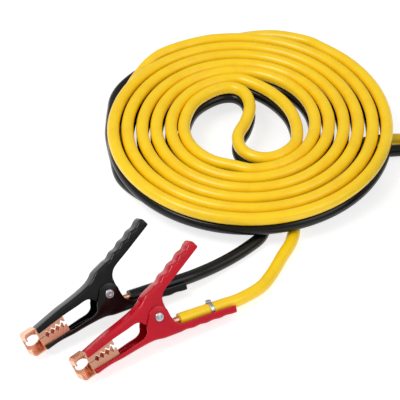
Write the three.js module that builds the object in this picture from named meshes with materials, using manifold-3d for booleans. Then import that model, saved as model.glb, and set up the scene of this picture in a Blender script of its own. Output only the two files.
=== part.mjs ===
// Booster cable set: two bonded conductors wound in a flat double spiral, with a spring clamp on each end.
// Millimetres, +Z up. The set lies on a level floor at z = 0.
import * as THREE from 'three';
import { mergeVertices } from 'three/addons/utils/BufferGeometryUtils.js';
import Module from 'manifold-3d';

const wasm = await Module();
wasm.setup();

// Cable
const cableDiameter = 11.5;
const layerGap = 0.3;            // between the floor tails, the black layer and the yellow layer
const floorGap = 0.15;           // under the leads' centre parts, which touch down along their length
const cableSides = 8;
const cutOver = 1;               // how far a cutting shape reaches past what it cuts

// Coil
const coilCentreX = -5.6;
const coilCentreY = 3.0;
const coilInnerRadius = 68;
const coilOuterRadius = 137;
const coilFacets = 40;
const coilGroove = 1.6;          // depth of the grooves that the turns leave on the coil's upper face
const grooveShare = 0.2;         // width of one side of a groove, as a share of a turn's pitch
const turnPitch = 13.8;
const leadRise = 1.6;            // where a lead starts to climb into its clamp

// Clamp halves, in the clamp's own plane: u towards the jaws, v up, w across
const sheetThickness = 1.2;      // steel with its vinyl coat
const upperWidth = 13.6;
const slideClearance = 0.35;     // between the upper half's cheeks and the lower half's ears
const jawLength = 71;            // rivet to the front end of the vinyl
const upperJawFront = 9.4;       // half heights of the vinyl at its front end
const lowerJawFront = 11.2;
const jawMidPlace = 44;          // places of the outer edge's corners in front of the rivet
const jawMidHalfHeight = 12.6;
const jawRearPlace = 25;
const jawRearHalfHeight = 14;
const neckPlace = 11;
const neckHalfHeight = 16.3;
const shoulderPlace = 2;
const upperShoulder = 21;
const lowerShoulder = 19.6;
const earRadius = 9.5;
const upperHandleLength = 55.5;
const lowerHandleLength = 59.5;
const upperHandleDepth = 8.8;
const lowerHandleDepth = 7.8;
const upperHandleAngle = 18.8;   // degrees away from the clamp's centre line
const lowerHandleAngle = 15.9;
const handleStart = 9;           // how far behind the rivet the handles' inner edges begin
const handleRise = 14.2;         // and how far from the centre line
const handleTaper = 1;           // how much shallower a handle is at its end
const gripWaves = 4;
const upperWaveDepth = 1.2;
const lowerWaveDepth = 0.6;
const waveMargin = 4;            // plain length at each end of the waves
const handleCorner = 1.5;
const crotchRun = 6.6;           // length of the bend between a handle's inner edge and the ears
const crotchUpper = [2.6, 0.6];  // how far its corners lie behind the ears and below the handle's start
const crotchLower = [0.6, 4];
const jawOpeningRear = 14;       // the space between the jaws starts this far in front of the rivet
const openingRound = 7;
const openingFoot = 0.2;         // shares of the space's half height and of its round, at the round's corners
const openingBend = [0.35, 0.75];
const upperOpening = 6.4;        // half heights of that space
const lowerOpening = 8.6;
const openingTaper = 1.4;        // how much closer the vinyl's edges come at the front

// Copper jaws
const copperThickness = 1.2;
const fitGap = 0.3;
const webGap = 0.35;             // between the copper's web and the vinyl's
const jawGap = 0.3;              // between the closed teeth
const copperTail = 26;           // how far the copper reaches into the vinyl, and past its front end
const copperReach = 12.6;
const copperHeadHalfHeight = 10.7;
const copperHeadWidth = 12;
const copperCorner = 1.8;
const notchHalfHeight = 4.2;     // the oval that the two notches make
const notchLength = 12.6;
const notchRim = 1.3;
const teeth = 4;
const toothPitch = 5.2;
const toothStart = 1.6;          // from the copper's rear end to the first tooth
const toothDepth = 2.6;
const toothShare = 0.8;
const toothLineRise = 1.4;       // the teeth stand this much further apart at their rear end

// Pivot
const rivetRadius = 2.1;
const rivetHeadRadius = 3.9;
const rivetHeadHeight = 1.5;
const rivetClearance = 0.3;

// Spring
const springWire = 2.0;
const springCoilRadius = 6.4;
const springLegRun = 5;
const springTurns = 3;
const springPitch = 2.4;
const springStart = 190;         // degrees round the rivet where its turns begin
const springSteps = 8;

// Cable in the lower handle
const cableSeat = 3.4;           // from the handle's outer face to the underside of the cable
const cableStop = 17;            // the cable ends this far behind the rivet
const strapFromEnd = 21;         // from the end of the lower handle
const strapWidth = 3.5;
const strapThickness = 0.35;
const strapPlay = 0.3;
const strapBuckle = 2.2;
const buckleOverlap = 0.1;
const cableStraight = 6;         // straight length of the cable on both sides of the handle's end

// How the clamps stand: on the tip of the lower jaw and the end of the lower handle, leaning on the cable's side
const clampTilt = 10.5;
const clampLean = 33.9;
const nearHeading = 32.2;
const farHeading = 90;
const redClampPlace = [-83.9, -244.9];
const blackClampPlace = [-126.9, -217];
const farBlackPlace = [168, -112];
const farRedPlace = [194, -112];

const degrees = Math.PI / 180;
const lowerWidth = upperWidth + 2 * (slideClearance + sheetThickness);
const cableRadius = cableDiameter / 2;
const copperRear = jawLength - copperTail;
const copperFront = jawLength + copperReach;
const blackLevel = floorGap + cableDiameter + layerGap;
const yellowLevel = blackLevel + cableDiameter + layerGap;

const redVinyl = new THREE.MeshStandardMaterial({ color: 0xb8182c, roughness: 0.35, metalness: 0 });
const blackVinyl = new THREE.MeshStandardMaterial({ color: 0x15181a, roughness: 0.35, metalness: 0 });
const yellowJacket = new THREE.MeshStandardMaterial({ color: 0xf5cc16, roughness: 0.4, metalness: 0 });
const blackJacket = new THREE.MeshStandardMaterial({ color: 0x16181a, roughness: 0.4, metalness: 0 });
const copper = new THREE.MeshStandardMaterial({ color: 0xdf9468, roughness: 0.3, metalness: 1 });
const zinc = new THREE.MeshStandardMaterial({ color: 0xc9ccd0, roughness: 0.3, metalness: 1 });
const springSteel = new THREE.MeshStandardMaterial({ color: 0x1c1c1e, roughness: 0.45, metalness: 1 });

// Solids and their joins

function toSolid(geometry) {
  const bare = geometry.clone();
  bare.deleteAttribute('normal');
  bare.deleteAttribute('uv');
  const merged = mergeVertices(bare, 1e-4);
  return new wasm.Manifold(new wasm.Mesh({
    numProp: 3,
    vertProperties: new Float32Array(merged.attributes.position.array),
    triVerts: new Uint32Array(merged.index.array),
  }));
}

function toGeometry(solid) {
  const mesh = solid.getMesh();
  const geometry = new THREE.BufferGeometry();
  geometry.setAttribute('position', new THREE.BufferAttribute(new Float32Array(mesh.vertProperties), 3));
  geometry.setIndex(new THREE.BufferAttribute(new Uint32Array(mesh.triVerts), 1));
  geometry.computeVertexNormals();
  return geometry;
}

// A flat outline in the clamp's plane, given a width that is centred on that plane
function plate(outline, width, middle = 0) {
  const shape = new THREE.Shape(outline.map(([u, v]) => new THREE.Vector2(u, v)));
  const geometry = new THREE.ExtrudeGeometry(shape, { depth: width, bevelEnabled: false, curveSegments: 8 });
  geometry.translate(0, 0, middle - width / 2);
  return toSolid(geometry);
}

function crossPin(radius, width, u = 0, v = 0, sides = 16) {
  const geometry = new THREE.CylinderGeometry(radius, radius, width, sides);
  geometry.rotateX(Math.PI / 2);
  geometry.translate(u, v, 0);
  return toSolid(geometry);
}

// Points of an open line moved sideways by a distance, to the left of its direction
function offsetLine(points, distance) {
  return points.map((point, i) => {
    const before = points[Math.max(i - 1, 0)];
    const after = points[Math.min(i + 1, points.length - 1)];
    const du = after[0] - before[0];
    const dv = after[1] - before[1];
    const length = Math.hypot(du, dv);
    return [point[0] - (dv / length) * distance, point[1] + (du / length) * distance];
  });
}

// Clamp halves. Each is a folded channel: a web along its outer edge and two cheeks, open towards the other half.
// The lines are drawn for the upper half; the lower half takes them mirrored, with its own handle.

function handleFrame(half) {
  const angle = half.handleAngle * degrees;
  return {
    start: [-handleStart, handleRise],
    along: [-Math.cos(angle), Math.sin(angle)],
    outward: [Math.sin(angle), Math.cos(angle)],
  };
}

function handlePoint(half, distance, depth) {
  const { start, along, outward } = handleFrame(half);
  return [
    start[0] + along[0] * distance + outward[0] * depth,
    start[1] + along[1] * distance + outward[1] * depth,
  ];
}

function outerEdge(half) {
  const line = [
    [jawLength, half.jawFront],
    [jawMidPlace, jawMidHalfHeight],
    [jawRearPlace, jawRearHalfHeight],
    [neckPlace, neckHalfHeight],
    [shoulderPlace, half.shoulder],
  ];
  const steps = gripWaves * 3;
  for (let i = 0; i <= steps; i += 1) {
    const share = i / steps;
    const wave = half.waveDepth * 0.5 * (1 - Math.cos(2 * Math.PI * gripWaves * share));
    const distance = waveMargin + (half.handleLength - 2 * waveMargin) * share;
    const taper = (handleTaper * distance) / half.handleLength;
    line.push(handlePoint(half, distance, half.handleDepth - wave - taper));
  }
  const endDepth = half.handleDepth - handleTaper;
  line.push(handlePoint(half, half.handleLength - handleCorner, endDepth));
  line.push(handlePoint(half, half.handleLength, endDepth - handleCorner));
  return line;
}

function innerEdge(half) {
  const line = [
    handlePoint(half, half.handleLength, handleCorner * 0.5),
    handlePoint(half, half.handleLength - handleCorner * 0.5, 0),
    handlePoint(half, crotchRun, 0),
    [-earRadius - crotchUpper[0], handleRise - crotchUpper[1]],
    [-earRadius - crotchLower[0], handleRise - crotchLower[1]],
  ];
  for (let angle = 170; angle <= 330; angle += 20) {
    line.push([earRadius * Math.cos(angle * degrees), earRadius * Math.sin(angle * degrees)]);
  }
  line.push([jawOpeningRear, half.opening * openingFoot]);
  line.push([jawOpeningRear + openingRound * openingBend[0], half.opening * openingBend[1]]);
  line.push([jawOpeningRear + openingRound, half.opening]);
  line.push([copperRear, half.opening]);
  line.push([jawLength, half.opening - openingTaper]);
  return line;
}

function mirrored(outline, sign) {
  const flipped = outline.map(([u, v]) => [u, v * sign]);
  return sign > 0 ? flipped : flipped.reverse();
}

const upperHalf = {
  sign: 1, width: upperWidth, handleAngle: upperHandleAngle, handleLength: upperHandleLength,
  handleDepth: upperHandleDepth, shoulder: upperShoulder, opening: upperOpening, jawFront: upperJawFront,
  waveDepth: upperWaveDepth, closedEnd: true,
};
const lowerHalf = {
  sign: -1, width: lowerWidth, handleAngle: lowerHandleAngle, handleLength: lowerHandleLength,
  handleDepth: lowerHandleDepth, shoulder: lowerShoulder, opening: lowerOpening, jawFront: lowerJawFront,
  waveDepth: lowerWaveDepth, closedEnd: false,
};

function clampHalf(half) {
  const beyond = 2 * half.handleLength;
  const outer = outerEdge(half);
  const inner = innerEdge(half);
  const outline = mirrored([...outer, ...inner], half.sign);
  const web = offsetLine(outer.slice(0, -2), sheetThickness);
  const end = half.handleLength + (half.closedEnd ? -sheetThickness : sheetThickness);
  const tip = handlePoint(half, end, half.handleDepth - handleTaper - sheetThickness);
  const tipInner = handlePoint(half, end, -beyond);
  const front = [jawLength + sheetThickness, web[0][1]];
  const frontInner = [jawLength + sheetThickness, -beyond];
  const pocket = mirrored([front, ...web, tip, tipInner, [-handleStart, -beyond], frontInner], half.sign);
  return plate(outline, half.width)
    .subtract(plate(pocket, half.width - 2 * sheetThickness))
    .subtract(crossPin(rivetRadius + rivetClearance, half.width * 2));
}

// Copper jaws: a folded channel inside the vinyl half, toothed where the two meet. Its head in front has a web, a
// nose and the far cheek, and is open on the near side.

const headRear = jawLength + fitGap;
const nearCheekFront = headRear + copperThickness;

function webInside(half, u) {
  const slope = (jawMidHalfHeight - half.jawFront) / (jawLength - jawMidPlace);
  return half.jawFront + (jawLength - u) * slope - sheetThickness - webGap;
}

function toothLine() {
  const line = [];
  for (let i = 0; i < teeth; i += 1) {
    const start = copperRear + toothStart + toothPitch * i;
    for (const [share, depth] of [[0, 0], [toothShare / 2, toothDepth], [toothShare, 0]]) {
      const u = start + toothPitch * share;
      const rise = (toothLineRise * (nearCheekFront - u)) / (nearCheekFront - copperRear);
      line.push([u, jawGap / 2 + rise + depth]);
    }
  }
  return line;
}

function copperJaw(half) {
  const { sign } = half;
  const rear = copperRear + fitGap;
  const tailWidth = upperWidth - 2 * (sheetThickness + fitGap);
  const webFront = webInside(half, jawLength);
  const webRear = webInside(half, rear);
  const headInside = copperHeadHalfHeight - copperThickness;
  const noseInside = copperFront - copperThickness;
  const tail = mirrored([
    [nearCheekFront, webFront],
    [rear, webRear],
    [rear, jawGap / 2 + toothLineRise],
    ...toothLine(),
    [nearCheekFront, jawGap / 2],
  ], sign);
  const tailPocket = mirrored([
    [nearCheekFront + cutOver, webFront - copperThickness],
    [rear - cutOver, webRear - copperThickness],
    [rear - cutOver, -toothDepth],
    [nearCheekFront + cutOver, -toothDepth],
  ], sign);
  const head = mirrored([
    [copperFront, copperHeadHalfHeight - copperCorner],
    [copperFront - copperCorner, copperHeadHalfHeight],
    [headRear, copperHeadHalfHeight],
    [headRear, jawGap / 2],
    [copperFront, jawGap / 2],
  ], sign);
  const headPocket = mirrored([
    [noseInside, -toothDepth],
    [noseInside, headInside - copperCorner],
    [noseInside - copperCorner, headInside],
    [nearCheekFront, headInside],
    [nearCheekFront, webFront - copperThickness],
    [headRear - cutOver, webFront - copperThickness],
    [headRear - cutOver, -toothDepth],
  ], sign);
  const noseCut = mirrored([
    [copperFront + cutOver, -toothDepth],
    [copperFront + cutOver, notchHalfHeight],
    [headRear - cutOver, notchHalfHeight],
    [headRear - cutOver, -toothDepth],
  ], sign);
  const headSolid = plate(head, copperHeadWidth)
    .subtract(plate(headPocket, copperHeadWidth, -copperThickness))
    .subtract(plate(noseCut, copperHeadWidth, -copperThickness));
  const notch = crossPin(notchLength / 2, copperHeadWidth, 0, 0, 24)
    .scale([1, (2 * notchHalfHeight) / notchLength, 1])
    .translate([copperFront - notchRim - notchLength / 2, 0, copperHeadWidth / 2]);
  return plate(tail, tailWidth)
    .subtract(plate(tailPocket, tailWidth - 2 * copperThickness))
    .add(headSolid)
    .subtract(notch);
}

function pivotRivet() {
  const reach = lowerWidth / 2 + fitGap;
  const profile = [
    [0, -reach - rivetHeadHeight],
    [rivetHeadRadius * 0.6, -reach - rivetHeadHeight * 0.9],
    [rivetHeadRadius, -reach - rivetHeadHeight * 0.3],
    [rivetHeadRadius, -reach],
    [rivetRadius, -reach],
    [rivetRadius, reach],
    [rivetHeadRadius, reach],
    [rivetHeadRadius, reach + rivetHeadHeight * 0.3],
    [rivetHeadRadius * 0.6, reach + rivetHeadHeight * 0.9],
    [0, reach + rivetHeadHeight],
  ].map(([radius, height]) => new THREE.Vector2(radius, height));
  const geometry = new THREE.LatheGeometry(profile, 16);
  geometry.rotateX(Math.PI / 2);
  return toSolid(geometry);
}

// A wire wound round the rivet. Its lower leg lies on the lower web; the upper leg is short, and clear when squeezed.
function torsionSpring() {
  const points = [];
  const half = (springTurns * springPitch) / 2;
  const legDepth = lowerHandleDepth - lowerWaveDepth - sheetThickness - fitGap - springWire / 2;
  const legEnd = handlePoint(lowerHalf, 0, legDepth);
  points.push(new THREE.Vector3(legEnd[0], -legEnd[1], -half - fitGap));
  points.push(new THREE.Vector3(-springCoilRadius - fitGap, -springCoilRadius - springLegRun, -half - fitGap));
  for (let i = 0; i <= springTurns * springSteps; i += 1) {
    const angle = (springStart + (i * 360) / springSteps) * degrees;
    points.push(new THREE.Vector3(
      springCoilRadius * Math.cos(angle),
      springCoilRadius * Math.sin(angle),
      -half + (springPitch * i) / springSteps,
    ));
  }
  const shortLeg = springCoilRadius + springWire / 2;
  points.push(new THREE.Vector3(-shortLeg, springWire - shortLeg, half + fitGap));
  const path = new THREE.CatmullRomCurve3(points, false, 'centripetal');
  return toSolid(tubeGeometry(path, springWire / 2, 6, 34));
}

function cableStrap() {
  const inner = cableRadius + strapPlay;
  const outer = inner + strapThickness;
  const half = strapWidth / 2;
  const profile = [[inner, -half], [outer, -half], [outer, half], [inner, half], [inner, -half]]
    .map(([radius, height]) => new THREE.Vector2(radius, height));
  const ring = new THREE.LatheGeometry(profile, 20);
  const buckle = new THREE.BoxGeometry(strapBuckle, strapWidth, strapBuckle * 2);
  buckle.translate(outer + strapBuckle / 2 - buckleOverlap, 0, 0);
  return toSolid(ring).add(toSolid(buckle));
}

function tubeGeometry(path, radius, sides, steps) {
  const section = new THREE.Shape();
  for (let i = 0; i < sides; i += 1) {
    const angle = (2 * Math.PI * i) / sides;
    const corner = [radius * Math.cos(angle), radius * Math.sin(angle)];
    if (i === 0) section.moveTo(...corner);
    else section.lineTo(...corner);
  }
  section.closePath();
  return new THREE.ExtrudeGeometry(section, { steps, extrudePath: path, bevelEnabled: false });
}

// Where the cable's centre line runs in the lower handle, at a distance behind the start of the handle
function cableSeatPoint(distance) {
  const depth = lowerHandleDepth - cableSeat - cableRadius;
  const [u, v] = handlePoint(lowerHalf, distance, depth);
  return new THREE.Vector3(u, -v, 0);
}

const cableInner = cableStop - handleStart;

// One clamp, standing on the floor at a place and heading
function clampPose(place, heading) {
  const turn = heading * degrees;
  const lean = clampLean * degrees;
  const tilt = clampTilt * degrees;
  const back = new THREE.Vector3(Math.cos(turn), Math.sin(turn), 0);
  const rise = new THREE.Vector3(
    -Math.sin(turn) * Math.sin(lean),
    Math.cos(turn) * Math.sin(lean),
    Math.cos(lean),
  );
  const u = back.clone().multiplyScalar(-Math.cos(tilt)).addScaledVector(rise, -Math.sin(tilt));
  const v = back.clone().multiplyScalar(-Math.sin(tilt)).addScaledVector(rise, Math.cos(tilt));
  const w = u.clone().cross(v);
  const corners = outerEdge(lowerHalf).map(([a, b]) => a * u.z - b * v.z);
  const height = -Math.min(...corners) + Math.abs(w.z) * (lowerWidth / 2);
  return new THREE.Matrix4().makeBasis(u, v, w).setPosition(place[0], place[1], height);
}

function addMesh(parent, name, solid, material) {
  const mesh = new THREE.Mesh(solid.isBufferGeometry ? solid : toGeometry(solid), material);
  mesh.name = name;
  parent.add(mesh);
  return mesh;
}

const upperShape = clampHalf(upperHalf);
const lowerShape = clampHalf(lowerHalf);
const upperCopper = copperJaw(upperHalf);
const lowerCopper = copperJaw(lowerHalf);
const rivetShape = pivotRivet();
const springShape = torsionSpring();
const strapShape = cableStrap();

function clamp(name, pose, vinyl) {
  const assembly = new THREE.Group();
  addMesh(assembly, `${name}_lower_grip`, lowerShape, vinyl);
  addMesh(assembly, `${name}_upper_grip`, upperShape, vinyl);
  addMesh(assembly, `${name}_lower_jaw`, lowerCopper, copper);
  addMesh(assembly, `${name}_upper_jaw`, upperCopper, copper);
  addMesh(assembly, `${name}_pivot_rivet`, rivetShape, zinc);
  addMesh(assembly, `${name}_spring`, springShape, springSteel);
  const strap = addMesh(assembly, `${name}_cable_strap`, strapShape, zinc);
  const { along } = handleFrame(lowerHalf);
  strap.position.copy(cableSeatPoint(lowerHandleLength - strapFromEnd));
  strap.rotation.z = Math.atan2(-along[1], along[0]) - Math.PI / 2;
  assembly.applyMatrix4(pose);
  return assembly;
}

const poses = {
  nearRed: clampPose(redClampPlace, nearHeading),
  nearBlack: clampPose(blackClampPlace, nearHeading),
  farBlack: clampPose(farBlackPlace, farHeading),
  farRed: clampPose(farRedPlace, farHeading),
};

// Coil: a ring for each conductor, grooved between the turns on its upper face
function coilRing(level) {
  const high = level + cableDiameter;
  const turns = Math.round((coilOuterRadius - coilInnerRadius) / turnPitch);
  const pitch = (coilOuterRadius - coilInnerRadius) / turns;
  const crown = pitch * grooveShare;
  const top = [];
  for (let i = 0; i < turns; i += 1) {
    const start = coilInnerRadius + i * pitch;
    top.push([start, high - coilGroove], [start + crown, high], [start + pitch - crown, high]);
  }
  top.push([coilOuterRadius, high - coilGroove]);
  const bottom = [[coilInnerRadius, level], [coilOuterRadius, level]];
  const profile = [...bottom, ...top.reverse(), bottom[0]].map(([r, z]) => new THREE.Vector2(r, z));
  const geometry = new THREE.LatheGeometry(profile, coilFacets);
  geometry.rotateX(Math.PI / 2);
  geometry.translate(coilCentreX, coilCentreY, 0);
  return toSolid(geometry);
}

// Cord routes, chosen by hand: X and Y of the centre line
const centreRoute = [
  [-13, -57.2], [-35.8, -48.7], [-52, -32.1], [-59.6, -13.1], [-60.5, 6.6], [-51.6, 34.6], [-34, 52.3],
  [-21.5, 57.7], [-12, 57], [-4.3, 50.8], [-0.2, 41], [1.2, 27], [-3.4, 5.6], [-10.4, -13.1], [-8.3, -31.1],
  [1.4, -42.2], [14, -45.7], [27.5, -41.6], [41.6, -26.2], [44.8, -6.4], [40.6, 19.7], [28.6, 42.5],
  [12, 59.5],
];
const nearYellowRoute = [
  [-122, 16], [-112, -20], [-92, -53], [-62, -76], [-30, -82], [3, -76], [27, -89], [38.4, -110],
  [36.3, -131], [26.7, -153.1], [16.5, -175.8], [7, -192.5],
];
const nearBlackRoute = [
  [-132, -16], [-118, -48], [-92, -76], [-58, -93], [-26, -95], [-5, -92], [8, -99], [12.5, -112],
  [8.6, -126.4], [-4.2, -141.2], [-21, -156], [-37.5, -169.5],
];
const farYellowRoute = [
  [-82, 64], [-87, 22], [-75, -16], [-47, -40], [-8, -47.5], [34, -42], [76, -19], [110, 4], [143, 9],
  [170, 5], [192, -3], [203, -17],
];
const farBlackRoute = [
  [-96.5, 64], [-101, 18], [-87, -25], [-55, -52.5], [-10, -61.5], [34, -56], [76, -35], [110, -13.5],
  [136, -7.5], [158, -7.5], [172.5, -17.5],
];

function levelPoints(route, level) {
  return route.map(([x, y]) => new THREE.Vector3(x, y, level + cableRadius));
}

// A lead lies on the floor, and begins to rise at its last hand-chosen point
function leadPoints(route, pose) {
  const points = levelPoints(route, floorGap);
  points[points.length - 1].z += leadRise;
  return [...points, ...clampEntry(pose)];
}

function clampEntry(pose) {
  return [
    cableSeatPoint(lowerHandleLength + cableStraight).applyMatrix4(pose),
    cableSeatPoint(lowerHandleLength - cableStraight).applyMatrix4(pose),
    cableSeatPoint(lowerHandleLength / 2).applyMatrix4(pose),
    cableSeatPoint(cableInner).applyMatrix4(pose),
  ];
}

function cable(points, steps) {
  const path = new THREE.CatmullRomCurve3(points, false, 'centripetal');
  path.arcLengthDivisions = 600;
  return toSolid(tubeGeometry(path, cableRadius, cableSides, steps));
}

const clamps = new THREE.Group();
clamps.add(clamp('near_red', poses.nearRed, redVinyl));
clamps.add(clamp('near_black', poses.nearBlack, blackVinyl));
clamps.add(clamp('far_red', poses.farRed, redVinyl));
clamps.add(clamp('far_black', poses.farBlack, blackVinyl));

const cords = new THREE.Group();
addMesh(cords, 'black_coil', coilRing(blackLevel), blackJacket);
addMesh(cords, 'yellow_coil', coilRing(yellowLevel), yellowJacket);
addMesh(cords, 'black_centre', cable(levelPoints(centreRoute, blackLevel), 24), blackJacket);
addMesh(cords, 'yellow_centre', cable(levelPoints(centreRoute, yellowLevel), 24), yellowJacket);
addMesh(cords, 'near_black_lead', cable(leadPoints(nearBlackRoute, poses.nearBlack), 18),
  blackJacket);
addMesh(cords, 'near_yellow_lead', cable(leadPoints(nearYellowRoute, poses.nearRed), 18),
  yellowJacket);
addMesh(cords, 'far_black_lead', cable(leadPoints(farBlackRoute, poses.farBlack), 22),
  blackJacket);
addMesh(cords, 'far_yellow_lead', cable(leadPoints(farYellowRoute, poses.farRed), 22),
  yellowJacket);

// The origin stands on the floor under the middle of the four clamps
const group = new THREE.Group();
group.add(clamps, cords);
group.updateMatrixWorld(true);
const reach = new THREE.Box3().setFromObject(clamps, true);
group.position.set(-(reach.min.x + reach.max.x) / 2, -(reach.min.y + reach.max.y) / 2, 0);
group.updateMatrixWorld(true);

export default group;
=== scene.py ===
import math
import bmesh
import bpy
import numpy as np
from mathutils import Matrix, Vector


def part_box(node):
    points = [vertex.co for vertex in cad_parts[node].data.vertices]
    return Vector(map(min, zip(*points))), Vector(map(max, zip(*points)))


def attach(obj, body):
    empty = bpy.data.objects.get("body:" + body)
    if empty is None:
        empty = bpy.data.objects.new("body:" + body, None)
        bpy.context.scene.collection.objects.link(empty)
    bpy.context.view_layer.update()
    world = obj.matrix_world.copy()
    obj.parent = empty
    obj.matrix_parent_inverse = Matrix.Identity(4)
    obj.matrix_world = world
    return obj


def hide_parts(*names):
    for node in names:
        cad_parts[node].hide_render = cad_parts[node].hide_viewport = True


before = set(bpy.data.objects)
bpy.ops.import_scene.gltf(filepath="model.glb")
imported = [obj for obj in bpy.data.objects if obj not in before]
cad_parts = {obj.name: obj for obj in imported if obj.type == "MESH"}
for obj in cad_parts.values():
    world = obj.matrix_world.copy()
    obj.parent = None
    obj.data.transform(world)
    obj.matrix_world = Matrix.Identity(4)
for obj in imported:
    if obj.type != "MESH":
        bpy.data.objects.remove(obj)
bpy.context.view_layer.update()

# Millimetres in the coil's own frame; rowShift takes a point into the frame that the CAD part is in
rowShift = np.array([-8.034, 172.385, 0.0])


def metres(points):
    return (np.asarray(points, dtype=float) + rowShift) / 1000


def paint(*screen):
    # A screen colour from 0 to 255 as linear light
    return tuple(((c / 255 + 0.055) / 1.055) ** 2.4 if c > 10 else c / 255 / 12.92 for c in screen)


moulded = {
    "cloudScale": 70,
    "cloudDetail": 4,
    "cloudFrom": 0.42,
    "cloudTo": 0.68,
    "grainScale": 1300,
    "grainDetail": 2,
    "grainHeight": 0.0002,
}


def mouldedGroup():
    # Cloudy colour, uneven gloss and fine grain, all from noise on the piece's own coordinates
    group = bpy.data.node_groups.new("mouldedSurface", "ShaderNodeTree")
    for name, kind in (("Colour", "Color"), ("Cloud", "Color"), ("Gloss", "Float"), ("Uneven", "Float"),
                       ("Grain", "Float")):
        group.interface.new_socket(name, in_out="INPUT", socket_type="NodeSocket" + kind)
    for name, kind in (("Colour", "Color"), ("Roughness", "Float"), ("Normal", "Vector")):
        group.interface.new_socket(name, in_out="OUTPUT", socket_type="NodeSocket" + kind)
    node = group.nodes.new
    link = group.links.new
    given = node("NodeGroupInput")
    result = node("NodeGroupOutput")
    place = node("ShaderNodeTexCoord")
    cloud = node("ShaderNodeTexNoise")
    cloud.inputs["Scale"].default_value = moulded["cloudScale"]
    cloud.inputs["Detail"].default_value = moulded["cloudDetail"]
    grain = node("ShaderNodeTexNoise")
    grain.inputs["Scale"].default_value = moulded["grainScale"]
    grain.inputs["Detail"].default_value = moulded["grainDetail"]
    spread = node("ShaderNodeMapRange")
    spread.inputs["From Min"].default_value = moulded["cloudFrom"]
    spread.inputs["From Max"].default_value = moulded["cloudTo"]
    tone = node("ShaderNodeMix")
    tone.data_type = "RGBA"
    gloss = node("ShaderNodeMath")
    gloss.operation = "MULTIPLY_ADD"
    bump = node("ShaderNodeBump")
    bump.inputs["Distance"].default_value = moulded["grainHeight"]
    link(place.outputs["Object"], cloud.inputs["Vector"])
    link(place.outputs["Object"], grain.inputs["Vector"])
    link(cloud.outputs["Fac"], spread.inputs["Value"])
    link(spread.outputs["Result"], tone.inputs["Factor"])
    link(given.outputs["Colour"], tone.inputs[6])
    link(given.outputs["Cloud"], tone.inputs[7])
    link(spread.outputs["Result"], gloss.inputs[0])
    link(given.outputs["Uneven"], gloss.inputs[1])
    link(given.outputs["Gloss"], gloss.inputs[2])
    link(grain.outputs["Fac"], bump.inputs["Height"])
    link(given.outputs["Grain"], bump.inputs["Strength"])
    link(tone.outputs[2], result.inputs["Colour"])
    link(gloss.outputs["Value"], result.inputs["Roughness"])
    link(bump.outputs["Normal"], result.inputs["Normal"])
    return group


mouldedSurface = mouldedGroup()


def material(name, colour, cloud, gloss, uneven=0.06, grain=0.12, metallic=0.0, shine=0.5):
    made = bpy.data.materials.new(name)
    made.use_nodes = True
    tree = made.node_tree
    shader = tree.nodes["Principled BSDF"]
    shader.inputs["Metallic"].default_value = metallic
    shader.inputs["Specular IOR Level"].default_value = shine
    finish = tree.nodes.new("ShaderNodeGroup")
    finish.node_tree = mouldedSurface
    finish.inputs["Colour"].default_value = (*colour, 1)
    finish.inputs["Cloud"].default_value = (*cloud, 1)
    finish.inputs["Gloss"].default_value = gloss
    finish.inputs["Uneven"].default_value = uneven
    finish.inputs["Grain"].default_value = grain
    tree.links.new(finish.outputs["Colour"], shader.inputs["Base Color"])
    tree.links.new(finish.outputs["Roughness"], shader.inputs["Roughness"])
    tree.links.new(finish.outputs["Normal"], shader.inputs["Normal"])
    return made


def smoothPath(points, step):
    # A curve through the points. Each span blends the four nearest points in three rounds, by knots that lie
    # apart by the square root of the distance, which keeps tight bends free of loops.
    points = np.asarray(points, dtype=float)
    padded = np.vstack([2 * points[0] - points[1], points, 2 * points[-1] - points[-2]])
    gaps = np.sqrt(np.linalg.norm(np.diff(padded, axis=0), axis=1))
    knots = np.concatenate([[0], np.cumsum(gaps)])
    spans = []
    for i in range(1, len(padded) - 2):
        a, b, c, d = padded[i - 1:i + 3]
        ta, tb, tc, td = knots[i - 1:i + 3]
        count = max(2, int(np.ceil(np.linalg.norm(c - b) / step)))
        t = np.linspace(tb, tc, count, endpoint=False)[:, None]
        ab = (tb - t) / (tb - ta) * a + (t - ta) / (tb - ta) * b
        bc = (tc - t) / (tc - tb) * b + (t - tb) / (tc - tb) * c
        cd = (td - t) / (td - tc) * c + (t - tc) / (td - tc) * d
        abc = (tc - t) / (tc - ta) * ab + (t - ta) / (tc - ta) * bc
        bcd = (td - t) / (td - tb) * bc + (t - tb) / (td - tb) * cd
        spans.append((tc - t) / (tc - tb) * abc + (t - tb) / (tc - tb) * bcd)
    return np.vstack([*spans, points[-1]])


# Camera
camera = {
    "target": (-53.97, 126.6, -22.11), "elevation": 42, "distance": 1875, "lens": 180, "sensor": 36,
    "clipStart": 0.05, "clipEnd": 50,
}
cameraData = bpy.data.cameras.new("camera")
cameraData.lens = camera["lens"]
cameraData.sensor_width = camera["sensor"]
cameraData.clip_start = camera["clipStart"]
cameraData.clip_end = camera["clipEnd"]
cameraObject = bpy.data.objects.new("camera", cameraData)
bpy.context.scene.collection.objects.link(cameraObject)
tilt = math.radians(camera["elevation"])
lookFrom = Vector((0, -math.cos(tilt), math.sin(tilt)))
cameraObject.location = (Vector(camera["target"]) + lookFrom * camera["distance"]) / 1000
cameraObject.rotation_euler = (math.pi / 2 - tilt, 0, 0)
bpy.context.scene.camera = cameraObject
print("camera set")

# Cords
cable = {
    "diameter": 11.5, "floor": 5.9, "lastRise": 1.6, "blackLevel": 17.7, "yellowLevel": 29.5, "step": 4.0,
    "resolution": 5,
}
coil = {
    "centre": (-5.6, 3.0),
    "growth": 27.2,
    "nearRadius": 75.8,
    "farRadius": 89.1,
    "radiusAngle": 450,
    "oval": 1.6,
    "turnStep": 12,
    "nearTurns": (275, 1198),
    "farTurns": (92, 1140),
    "nearPushes": ((310, 1.6, 35), (460, 1.9, 50)),
    "farPushes": ((100, 4, 50),),
}
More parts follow.
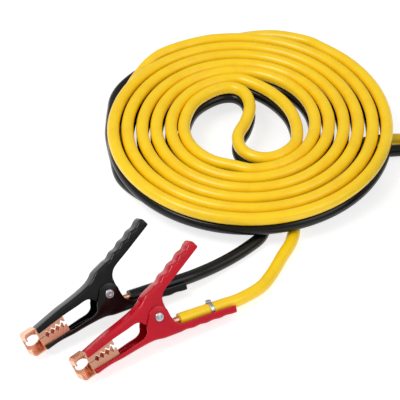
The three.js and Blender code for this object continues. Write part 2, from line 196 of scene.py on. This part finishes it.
# A route gives x and y of the centre line; a drop gives angle, radius and height about the coil's centre
centreRoute = [
    (-13, -57.2), (-35.8, -48.7), (-52, -32.1), (-59.6, -13.1), (-60.5, 6.6), (-51.6, 34.6), (-34, 52.3),
    (-21.5, 57.7), (-12, 57), (-4.3, 50.8), (-0.2, 41), (1.2, 27), (-3.4, 5.6), (-10.4, -13.1), (-8.3, -31.1),
    (1.4, -42.2), (14, -45.7), (27.5, -41.6), (41.6, -26.2), (44.8, -6.4), (40.6, 19.7), (28.6, 42.5),
    (12, 59.5),
]
nearYellowRoute = [
    (-112, -20), (-92, -53), (-62, -76), (-30, -82), (3, -76), (27, -89), (38.4, -110),
    (36.3, -131), (26.7, -153.1), (16.5, -175.8), (7, -192.5),
]
nearBlackRoute = [
    (-118, -48), (-92, -76), (-58, -93), (-26, -95), (-5, -92), (8, -99), (12.5, -112),
    (8.6, -126.4), (-4.2, -141.2), (-21, -156), (-37.5, -169.5),
]
farYellowRoute = [
    (-75, -16), (-47, -40), (-8, -47.5), (34, -42), (76, -19), (110, 4), (143, 9), (170, 5), (192, -3),
    (203, -17),
]
farBlackRoute = [
    (-92.5, 76), (-97, 57), (-100, 38), (-101, 18), (-87, -25), (-55, -52.5), (-10, -61.5), (34, -56),
    (76, -35), (110, -13.5), (136, -7.5), (158, -7.5), (172.5, -17.5),
]
nearYellowDrop = [
    (1206, 133.5, 28), (1214, 133.5, 24), (1221, 132.5, 18), (1227, 131.5, 12), (1233, 128, 7.5),
    (1239, 122.5, 5.9), (1246, 118.5, 5.9), (1255, 115, 5.9),
]
nearBlackDrop = [
    (1208, 134, 17.6), (1214, 136.5, 15.5), (1220, 140, 11.5), (1226, 142.3, 7.6), (1232, 140.5, 5.9),
    (1239, 134.7, 5.9), (1246, 130.5, 5.9), (1255, 127, 5.9), (1270, 123, 5.9),
]
farYellowDrop = [
    (1142, 144, 28), (1156, 144.5, 25.5), (1168, 144, 20.5), (1178, 143.6, 14.5), (1185, 142, 9.5),
    (1191, 138, 6.2), (1197, 130.5, 5.9), (1203, 121.5, 5.9), (1209, 112.5, 5.9), (1217, 104, 5.9),
    (1227, 96, 5.9), (1238, 90, 5.9), (1250, 84.5, 5.9),
]
farBlackDrop = [
    (1156, 147, 14.5), (1166, 150, 9.5), (1175, 153, 6.4), (1183, 153.5, 5.9), (1190, 151, 5.9),
    (1196, 147, 5.9), (1202, 140, 5.9), (1208, 130, 5.9), (1214, 119, 5.9),
]
clamp = {
    "tilt": 10.5, "lean": 33.9, "nearHeading": 32.2, "farHeading": 90,
    "handleStart": 9, "handleRise": 14.2, "cableSeat": 3.4, "cableStart": 8, "cableStraight": 6,
}
clampNames = ("near_red", "near_black", "far_red", "far_black")
upperHalf = {
    "sign": 1, "width": 13.6, "handleAngle": 18.8, "handleLength": 55.5, "handleDepth": 8.8,
    "shoulder": 21, "opening": 6.4, "jawFront": 9.4, "wave": 1.2, "closed": True,
}
lowerHalf = {
    "sign": -1, "width": 16.7, "handleAngle": 15.9, "handleLength": 59.5, "handleDepth": 7.8,
    "shoulder": 19.6, "opening": 8.6, "jawFront": 11.2, "wave": 0.6, "closed": False,
}


def clampAxes(name):
    # Directions towards the jaws' tips, up through the upper jaw and across. The handles point to the heading
    # and are lifted by the tilt, and the clamp is rolled by the lean.
    heading = clamp["nearHeading"] if name.startswith("near") else clamp["farHeading"]
    h, t, d = (math.radians(a) for a in (heading, clamp["tilt"], clamp["lean"]))
    back = np.array([math.cos(h), math.sin(h), 0])
    rise = np.array([-math.sin(h) * math.sin(d), math.cos(h) * math.sin(d), math.cos(d)])
    along = -math.cos(t) * back - math.sin(t) * rise
    up = -math.sin(t) * back + math.cos(t) * rise
    return np.array([along, up, np.cross(along, up)])


def clampPoint(name, points):
    # Pivot plus u, v and w along the clamp's own axes. The pivot is the middle of the rivet's box.
    low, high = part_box(f"{name}_pivot_rivet")
    pivot = np.array((low + high) * 500) - rowShift
    return pivot + np.asarray(points, dtype=float) @ clampAxes(name)


def handlePoint(half, distance, depth):
    # From the handle's start, a distance along its slope and a depth square to it
    a = math.radians(half["handleAngle"])
    distance, depth = np.broadcast_arrays(np.atleast_1d(np.asarray(distance, float)), depth)
    return np.column_stack([
        -clamp["handleStart"] - math.cos(a) * distance + math.sin(a) * depth,
        clamp["handleRise"] + math.sin(a) * distance + math.cos(a) * depth,
    ])


def cableSeat(distances):
    # The cable's centre line inside the lower handle, at distances from the handle's start
    depth = lowerHalf["handleDepth"] - clamp["cableSeat"] - cable["diameter"] / 2
    line = handlePoint(lowerHalf, distances, depth)
    return np.column_stack([line[:, 0], -line[:, 1], np.zeros(len(line))])


def cableInGrip(name):
    end = lowerHalf["handleLength"]
    straight = clamp["cableStraight"]
    return clampPoint(name, cableSeat([clamp["cableStart"], end / 2, end - straight, end + straight]))


def coilPoint(angle, radius, height):
    # A circle about the coil's centre, narrowed by the oval and lengthened by it
    a = math.radians(angle)
    return (
        coil["centre"][0] + (radius - coil["oval"]) * math.cos(a),
        coil["centre"][1] + (radius + coil["oval"]) * math.sin(a),
        height,
    )


def turns(span, baseRadius, height, pushes):
    # Radius grows evenly with the angle. Each push adds its amount times a bell curve about its angle.
    angles = np.arange(span[0], span[1] + 0.5, coil["turnStep"])
    radii = baseRadius + coil["growth"] * (angles - coil["radiusAngle"]) / 360
    for middle, amount, width in pushes:
        radii += amount * np.exp(-((angles - middle) / width) ** 2)
    return [coilPoint(a, r, height) for a, r in zip(angles, radii)]


def onFloor(route):
    points = [(x, y, cable["floor"]) for x, y in route]
    points[-1] = (*route[-1], cable["floor"] + cable["lastRise"])
    return points


def conductor(level, nearClamp, nearRoute, nearDrop, farDrop, farRoute, farClamp):
    # One cord from clamp to clamp: out of the grip, over the floor, up to the coil, round and through its
    # middle, round again, down and back over the floor
    centre = [(x, y, level) for x, y in centreRoute]
    near = turns(coil["nearTurns"], coil["nearRadius"], level, coil["nearPushes"])
    far = turns(coil["farTurns"], coil["farRadius"], level, coil["farPushes"])
    return [
        *cableInGrip(nearClamp),
        *onFloor(nearRoute)[::-1],
        *[coilPoint(*p) for p in nearDrop][::-1],
        *near[::-1],
        *centre,
        *far,
        *[coilPoint(*p) for p in farDrop],
        *onFloor(farRoute),
        *cableInGrip(farClamp)[::-1],
    ]


def cordObject(name, points, look):
    path = metres(smoothPath(points, cable["step"]))
    data = bpy.data.curves.new(name, "CURVE")
    data.dimensions = "3D"
    spline = data.splines.new("POLY")
    spline.points.add(len(path) - 1)
    spline.points.foreach_set("co", np.column_stack([path, np.ones(len(path))]).ravel())
    data.bevel_depth = cable["diameter"] / 2000
    data.bevel_resolution = cable["resolution"]
    data.use_fill_caps = True
    data.materials.append(look)
    made = bpy.data.objects.new(name, data)
    bpy.context.scene.collection.objects.link(made)
    length = float(np.linalg.norm(np.diff(path, axis=0), axis=1).sum())
    print(name, "length", round(length, 3), "points", len(path))
    return made, path, length


yellowLook = material("yellowJacket", paint(255, 212, 14), paint(250, 203, 10), 0.28, grain=0.06)
blackLook = material("blackJacket", (0.003,) * 3, (0.005,) * 3, 0.2, grain=0.05, shine=0.32)
yellowPoints = conductor(
    cable["yellowLevel"], "near_red", nearYellowRoute, nearYellowDrop,
    farYellowDrop, farYellowRoute, "far_red",
)
blackPoints = conductor(
    cable["blackLevel"], "near_black", nearBlackRoute, nearBlackDrop,
    farBlackDrop, farBlackRoute, "far_black",
)
yellowCord, yellowPath, yellowLength = cordObject("yellowCord", yellowPoints, yellowLook)
blackCord, blackPath, blackLength = cordObject("blackCord", blackPoints, blackLook)
for cord, path, length, colour, slot in (
    (yellowCord, yellowPath, yellowLength, "yellow", "yellow_jacket"),
    (blackCord, blackPath, blackLength, "black", "black_jacket"),
):
    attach(cord, "root")
    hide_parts(f"{colour}_coil", f"{colour}_centre", f"near_{colour}_lead", f"far_{colour}_lead")
print("cords made")

# Pieces
def gridPiece(name, points, look, body, nodes=(), wrap=False, flip=False):
    # A face between each four neighbours of a grid of points in metres. Wrap joins last column and first.
    rows, columns = points.shape[:2]
    index = np.arange(rows * columns).reshape(rows, columns)
    if wrap:
        index = np.hstack([index, index[:, :1]])
    corners = [index[:-1, :-1], index[1:, :-1], index[1:, 1:], index[:-1, 1:]]
    faces = np.stack(corners, axis=-1).reshape(-1, 4)
    if flip:
        faces = faces[:, ::-1]
    data = bpy.data.meshes.new(name)
    data.from_pydata(points.reshape(-1, 3), [], faces.tolist())
    return dressed(name, data, look, body, nodes)


def dressed(name, data, look, body, nodes):
    # A mesh with its doubles merged, made an object with its look, body and the CAD nodes it replaces
    shape = bmesh.new()
    shape.from_mesh(data)
    bmesh.ops.remove_doubles(shape, verts=shape.verts, dist=1e-6)
    bmesh.ops.dissolve_degenerate(shape, edges=shape.edges, dist=1e-6)
    shape.to_mesh(data)
    shape.free()
    data.polygons.foreach_set("use_smooth", np.ones(len(data.polygons), dtype=bool))
    data.materials.append(look)
    made = bpy.data.objects.new(name, data)
    bpy.context.scene.collection.objects.link(made)
    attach(made, body)
    if nodes:
        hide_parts(*nodes)
    return made


def roundEdges(piece, width, segments, angle):
    bevel = piece.modifiers.new("roundEdges", "BEVEL")
    bevel.width = width / 1000
    bevel.segments = segments
    bevel.limit_method = "ANGLE"
    bevel.angle_limit = math.radians(angle)


def stationLine(line, stations, steps):
    # Points at even shares of the way between stations, each the line's nearest point to the one given
    travel = np.concatenate([[0], np.cumsum(np.linalg.norm(np.diff(line, axis=0), axis=1))])
    at = [travel[np.argmin(np.linalg.norm(line - s, axis=1))] for s in stations]
    shares = [np.linspace(a, b, n, endpoint=False) for a, b, n in zip(at[:-1], at[1:], steps)]
    shares = np.concatenate([*shares, at[-1:]])
    return np.column_stack([np.interp(shares, travel, line[:, k]) for k in range(2)])


# Grips
grip = {
    "jawLength": 71,
    "jaw": ((57.5, 11.1), (44, 12.6), (34, 13.2), (25, 14), (17.5, 14.9), (11, 16.3), (6, 18.4)),
    "backStations": ((45, 12.6), (21, 14.4), (11, 16.3)),
    "shoulderPlace": 2,
    "earRadius": 9.5,
    "earSpan": (330, 169, -10),
    "earStations": (330, 215),
    "crotch": ((-12.1, 13.6), (-10.1, 10.2)),
    "crotchRun": 6.6,
    "openingRear": 14,
    "openingRound": 7,
    "openingBend": ((1, 1), (0.35, 0.75), (0, 0.2)),
    "openingStation": 21,
    "openingMiddle": 30,
    "openingTaper": 1.4,
    "copperRear": 45,
    "taper": 1,
    "waves": 4,
    "waveMargin": 4,
    "waveSteps": 49,
    "lineStep": 0.5,
    "steps": (34, 30, 16, 14, 28, 84),
    "sheet": 1.2,
    "sheetClamp": 0.8,
    "corner": 1.9,
    "cornerSteps": 6,
    "endRound": 2.6,
    "lip": 0.45,
    "lipSegments": 3,
    "lipAngle": 55,
}


def outerLine(half):
    # The jaw's back, then the handle's back with its waves: depth less half a wave of one minus cosine
    share = np.linspace(0, 1, grip["waveSteps"])
    wave = half["wave"] / 2 * (1 - np.cos(2 * np.pi * grip["waves"] * share))
    distance = grip["waveMargin"] + (half["handleLength"] - 2 * grip["waveMargin"]) * share
    depth = half["handleDepth"] - wave - grip["taper"] * distance / half["handleLength"]
    end = handlePoint(half, half["handleLength"], half["handleDepth"] - grip["taper"])
    front = (grip["jawLength"], half["jawFront"])
    shoulder = (grip["shoulderPlace"], half["shoulder"])
    handle = handlePoint(half, distance, depth)
    return smoothPath(np.vstack([front, grip["jaw"], shoulder, handle, end]), grip["lineStep"])


def innerLine(half):
    # The jaw's edge, the opening's round, an arc about the rivet, the bend at its back, the handle's edge
    ear = np.radians(np.arange(*grip["earSpan"]))
    arc = grip["earRadius"] * np.column_stack([np.cos(ear), np.sin(ear)])
    opening = half["opening"]
    bend = [(grip["openingRear"] + grip["openingRound"] * a, opening * b) for a, b in grip["openingBend"]]
    length = half["handleLength"]
    return smoothPath(np.vstack([
        (grip["jawLength"], opening - grip["openingTaper"]),
        (grip["copperRear"], opening),
        (grip["openingMiddle"], opening),
        bend,
        arc,
        grip["crotch"][::-1],
        handlePoint(half, [grip["crotchRun"], length / 2, length], 0),
    ]), grip["lineStep"])


def gripShell(half):
    # Each row of the grid is a folded section: down a cheek, round a quarter circle, over the web and back.
    # Depth runs from the outer line towards the inner one. A closed end adds rows that turn in and meet.
    length = half["handleLength"] - (grip["endRound"] if half["closed"] else 0)
    run = grip["crotchRun"]
    ear = np.radians(grip["earStations"])
    outer = stationLine(outerLine(half), np.vstack([
        (grip["jawLength"], half["jawFront"]),
        grip["backStations"],
        (grip["shoulderPlace"], half["shoulder"]),
        handlePoint(half, [run, length], half["handleDepth"] - grip["taper"]),
    ]), grip["steps"])
    inner = stationLine(innerLine(half), np.vstack([
        [(u, half["opening"]) for u in (grip["jawLength"], grip["copperRear"], grip["openingStation"])],
        grip["earRadius"] * np.column_stack([np.cos(ear), np.sin(ear)]),
        handlePoint(half, [run, length], 0),
    ]), grip["steps"])
    reach = np.linalg.norm(inner - outer, axis=1)[:, None]
    down = (inner - outer) / reach
    quarter = np.linspace(0, np.pi / 2, grip["cornerSteps"])[None, :]
    r = grip["corner"]
    arcDepth = np.repeat(r * (1 - np.sin(quarter)), len(outer), axis=0)
    arcSide = np.repeat(r * (1 - np.cos(quarter)), len(outer), axis=0)
    cheekDepth = np.hstack([reach, (reach + r) / 2])
    depth = np.hstack([cheekDepth, arcDepth])
    side = np.hstack([np.zeros_like(cheekDepth), arcSide])
    across = half["width"] / 2 - side
    depth = np.hstack([depth, depth[:, ::-1]])
    across = np.hstack([-across, across[:, ::-1]])
    plane = outer[:, None, :] + down[:, None, :] * depth[:, :, None]
    rows = np.concatenate([plane, across[:, :, None]], axis=2)
    if half["closed"]:
        a = math.radians(half["handleAngle"])
        end = np.array([-math.cos(a), math.sin(a)])
        turn = np.linspace(0, np.pi / 2, grip["cornerSteps"])[1:]
        size = grip["endRound"]
        extra = []
        for shift, draw, narrow in [
            *[(size * math.sin(t), size * (1 - math.cos(t)), 1) for t in turn],
            (size, size, 0.5),
            (size, size, 0),
        ]:
            lowered = np.minimum(depth[-1] + draw * (depth[-1] < reach[-1]), reach[-1])
            flat = outer[-1] + down[-1] * lowered[:, None] + end * shift
            sideways = np.sign(across[-1]) * np.maximum(np.abs(across[-1]) - draw, 0) * narrow
            extra.append(np.column_stack([flat, sideways]))
        rows = np.concatenate([rows, extra])
    return rows * np.array([1, half["sign"], 1])


# Rivet, spring, strap and strands
rivet = {
    "reach": 8.65, "shankRadius": 2.1, "headRadius": 3.9, "headHeight": 1.5, "headPower": 0.8,
    "headSteps": 15, "dimpleDepth": 0.75, "dimpleRadius": 1.3,
}
spring = {
    "wire": 1.0, "radius": 6.4, "turns": 3, "pitch": 2.4, "start": 190, "stepsPerTurn": 16, "legRun": 5,
    "legGap": 0.3, "step": 0.7,
}
strap = {
    "fromEnd": 21, "width": 3.5, "gap": 0.3, "thick": 0.5, "power": 0.4, "buckle": (4.2, 2.2, 4.4),
    "buckleOut": 1.5, "sectionSteps": 16, "roundSteps": 49,
}
strands = {
    "radius": 3.1, "sides": 36, "lobes": 12, "lobeDepth": 0.22, "twist": 0.5, "step": 0.5,
    "places": (10, 5, 2, -1), "lifts": (0, 0, 0.4, 1.4),
}


def turned(profile, sides=40):
    # Radius and height of the profile carried round the w axis
    profile = np.asarray(profile, dtype=float)
    angle = np.linspace(0, 2 * np.pi, sides, endpoint=False)[None, :]
    return np.stack([
        profile[:, :1] * np.cos(angle), profile[:, :1] * np.sin(angle),
        np.repeat(profile[:, 1:2], sides, axis=1),
    ], axis=-1)


def rivetShape():
    # A shank with a head at each end: the head's height falls as a circle does, and its middle is dimpled
    share = np.linspace(0, 1, rivet["headSteps"])
    radius = rivet["headRadius"] * np.sin(share * np.pi / 2)
    height = rivet["headHeight"] * np.cos(share * np.pi / 2) ** rivet["headPower"]
    height -= rivet["dimpleDepth"] * np.exp(-(radius / rivet["dimpleRadius"]) ** 4)
    head = np.column_stack([radius, rivet["reach"] + height])
    shank = [[rivet["shankRadius"], rivet["reach"]], [rivet["shankRadius"], -rivet["reach"]]]
    return turned(np.vstack([head, shank, (head * (1, -1))[::-1]]))


def tube(path, radius, sides=12, lobes=0, lobeDepth=0.0, twist=0.0):
    # A circle carried along a path in planes square to it, its sides taken from a direction near the w axis.
    # Lobes wind round it: the radius gains lobeDepth times the cosine of lobes x angle + twist x travel.
    reference = (0.03, 0.02, 1.0)
    path = np.asarray(path, dtype=float)
    ahead = np.gradient(path, axis=0)
    ahead /= np.linalg.norm(ahead, axis=1)[:, None]
    side = np.cross(ahead, reference)
    side /= np.linalg.norm(side, axis=1)[:, None]
    lift = np.cross(side, ahead)
    angle = np.linspace(0, 2 * np.pi, sides, endpoint=False)[None, :]
    travel = np.concatenate([[0], np.cumsum(np.linalg.norm(np.diff(path, axis=0), axis=1))])[:, None]
    swell = radius + lobeDepth * np.cos(lobes * angle + twist * travel)
    ring = np.cos(angle)[..., None] * side[:, None, :] + np.sin(angle)[..., None] * lift[:, None, :]
    body = path[:, None, :] + swell[..., None] * ring
    caps = [np.repeat(path[k][None, None, :], sides, axis=1) for k in (0, -1)]
    return np.concatenate([caps[0], body, caps[1]])


def springPath():
    # A leg from the lower handle's web, three turns about the rivet, and a short leg behind them
    wire, radius, gap, steps = (spring[k] for k in ("wire", "radius", "legGap", "stepsPerTurn"))
    half = spring["turns"] * spring["pitch"] / 2
    depth = lowerHalf["handleDepth"] - lowerHalf["wave"] - grip["sheet"] - gap - wire
    start = handlePoint(lowerHalf, 0, depth)[0]
    angle = np.radians(spring["start"] + np.arange(spring["turns"] * steps + 1) * 360 / steps)
    wound = np.column_stack([
        radius * np.cos(angle), radius * np.sin(angle), np.linspace(-half, half, len(angle)),
    ])
    leg = radius + wire
    return smoothPath(np.vstack([
        (start[0], -start[1], -half - gap),
        (-radius - gap, -radius - spring["legRun"], -half - gap),
        wound,
        (-leg, 2 * wire - leg, half + gap),
    ]), spring["step"])


def gripAxes():
    # The lower handle's own directions: along it towards its end, and out of its web
    a = math.radians(lowerHalf["handleAngle"])
    return np.array([-math.cos(a), -math.sin(a), 0]), np.array([math.sin(a), -math.cos(a), 0])


def strapMiddle():
    return cableSeat([lowerHalf["handleLength"] - strap["fromEnd"]])[0]


def squared(values, power):
    # A sine or cosine raised to a small power with its sign kept, which squares a circle's corners
    return np.sign(values) * np.abs(values) ** power


def strapShape():
    # A flat rounded section carried round the cable: half width and half thickness times a squared circle
    along, outward = gripAxes()
    t = np.linspace(0, 2 * np.pi, strap["sectionSteps"], endpoint=False)
    breadth = squared(np.cos(t), strap["power"])[None, :, None]
    thickness = squared(np.sin(t), strap["power"])[None, :, None]
    radius = cable["diameter"] / 2 + strap["gap"] + strap["thick"] / 2
    turn = np.linspace(0, 2 * np.pi, strap["roundSteps"])[:, None, None]
    out = radius + thickness * strap["thick"] / 2
    ring = np.cos(turn) * outward + np.sin(turn) * np.array([0, 0, 1.0])
    return strapMiddle() + out * ring + breadth * strap["width"] / 2 * along


def softBlock(middle, axes, sizes, power=0.35, count=20):
    # A box with rounded edges: a sphere's two angles, with each sine and cosine squared off
    u = np.linspace(-np.pi / 2, np.pi / 2, count)[:, None]
    v = np.linspace(0, 2 * np.pi, 2 * count, endpoint=False)[None, :]
    level = squared(np.cos(u), power)
    parts = (
        level * squared(np.cos(v), power),
        level * squared(np.sin(v), power),
        squared(np.sin(u), power) + 0 * v,
    )
    return middle + sum(p[..., None] * np.asarray(a) * s / 2 for p, a, s in zip(parts, axes, sizes))


redVinyl = material("redVinyl", paint(196, 6, 34), paint(182, 5, 30), 0.2, grain=0.03, shine=0.4)
blackVinyl = material("blackVinyl", (0.003,) * 3, (0.005,) * 3, 0.16, grain=0.03, shine=0.34)
copperLook = material(
    "copper", paint(252, 196, 166), paint(240, 172, 140), 0.26, uneven=0.12, grain=0.08, metallic=1,
)
zincLook = material(
    "zinc", paint(206, 208, 212), paint(180, 182, 186), 0.26, uneven=0.16, grain=0.1, metallic=1,
)
springLook = material(
    "springSteel", (0.03, 0.03, 0.033), (0.05, 0.05, 0.052), 0.4, uneven=0.1, grain=0.1, metallic=1,
)
jawEdges = {"merge": 2e-6, "flatAngle": 2, "width": 0.22, "segments": 2, "angle": 25}


def roundedCopy(node, name, look, body):
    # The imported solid's own surface, its triangles joined into flat faces so that its edges can be rounded
    data = bpy.data.objects[node].data.copy()
    data.materials.clear()
    shape = bmesh.new()
    shape.from_mesh(data)
    bmesh.ops.remove_doubles(shape, verts=shape.verts, dist=jawEdges["merge"])
    flat = math.radians(jawEdges["flatAngle"])
    bmesh.ops.dissolve_limit(shape, angle_limit=flat, verts=shape.verts, edges=shape.edges)
    shape.to_mesh(data)
    shape.free()
    made = dressed(name, data, look, body, (node,))
    data.polygons.foreach_set("use_smooth", np.zeros(len(data.polygons), dtype=bool))
    roundEdges(made, jawEdges["width"], jawEdges["segments"], jawEdges["angle"])


def clampPieces(name):
    vinyl, slot = (redVinyl, "red_vinyl") if name.endswith("red") else (blackVinyl, "black_vinyl")
    label = name.replace("_r", "R").replace("_b", "B")
    upperBody = f"{name}_upper"

    def placed(points):
        return (clampPoint(name, points) + rowShift) / 1000

    def small(part, points, look, slot, *nodes):
        gridPiece(f"{label}{part}", placed(points), look, "root", nodes, wrap=True)

    for part, half, body in (("upper", upperHalf, upperBody), ("lower", lowerHalf, "root")):
        made = gridPiece(
            f"{label}{part.title()}Grip", placed(gripShell(half)), vinyl, body,
            (f"{name}_{part}_grip",), flip=half["sign"] < 0,
        )
        wall = made.modifiers.new("sheet", "SOLIDIFY")
        wall.thickness = grip["sheet"] / 1000
        wall.offset = -1
        wall.use_even_offset = True
        wall.thickness_clamp = grip["sheetClamp"]
        roundEdges(made, grip["lip"], grip["lipSegments"], grip["lipAngle"])
        roundedCopy(f"{name}_{part}_jaw", f"{label}{part.title()}Jaw", copperLook, body)
    along, outward = gripAxes()
    across = np.array([0, 0, 1.0])
    buckle = strapMiddle() - outward * (cable["diameter"] / 2 + strap["buckleOut"])
    block = softBlock(buckle, (along, outward, across), strap["buckle"])
    wire = smoothPath(cableSeat(strands["places"]) + np.outer(strands["lifts"], outward), strands["step"])
    twisted = tube(
        wire, strands["radius"], strands["sides"], strands["lobes"], strands["lobeDepth"], strands["twist"],
    )
    small("Rivet", rivetShape(), zincLook, "zinc", f"{name}_pivot_rivet")
    small("Spring", tube(springPath(), spring["wire"]), springLook, "spring_steel", f"{name}_spring")
    small("Strap", strapShape(), zincLook, "zinc", f"{name}_cable_strap")
    small("Buckle", block, zincLook, "zinc")
    small("Strands", twisted, copperLook, "copper")


for clampName in clampNames:
    clampPieces(clampName)
    print(clampName, "made")

# Floor and light
stage = {
    "floorReach": 9,
    "floorColour": (0.4, 0.4, 0.4, 1),
    "floorRoughness": 0.7,
    "floorGlow": 0.75,
    "world": 0.5,
    "lights": (
        ("keyLight", (-0.9, -0.3, 1.6), 0.9, 16),
        ("fillLight", (1.2, -0.5, 1.3), 1.2, 6),
    ),
    "lightAim": (0, 0.1, 0),
}
far = stage["floorReach"]
floorData = bpy.data.meshes.new("floor")
corners = [(-far, -far, 0), (far, -far, 0), (far, far, 0), (-far, far, 0)]
floorData.from_pydata(corners, [], [(0, 1, 2, 3)])
floor = bpy.data.objects.new("floor", floorData)
bpy.context.scene.collection.objects.link(floor)
floorLook = bpy.data.materials.new("floor")
floorLook.use_nodes = True
floorShader = floorLook.node_tree.nodes["Principled BSDF"]
floorShader.inputs["Base Color"].default_value = stage["floorColour"]
floorShader.inputs["Roughness"].default_value = stage["floorRoughness"]
floorShader.inputs["Emission Color"].default_value = (1, 1, 1, 1)
floorShader.inputs["Emission Strength"].default_value = stage["floorGlow"]
floorData.materials.append(floorLook)
for name, place, size, power in stage["lights"]:
    lightData = bpy.data.lights.new(name, "AREA")
    lightData.shape = "DISK"
    lightData.size = size
    lightData.energy = power
    light = bpy.data.objects.new(name, lightData)
    light.location = place
    towards = Vector(stage["lightAim"]) - Vector(place)
    light.rotation_euler = towards.to_track_quat("-Z", "Y").to_euler()
    bpy.context.scene.collection.objects.link(light)
world = bpy.data.worlds.new("world")
world.use_nodes = True
world.node_tree.nodes["Background"].inputs["Color"].default_value = (1, 1, 1, 1)
world.node_tree.nodes["Background"].inputs["Strength"].default_value = stage["world"]
bpy.context.scene.world = world
bpy.context.scene.view_settings.view_transform = "Standard"
print("stage made")
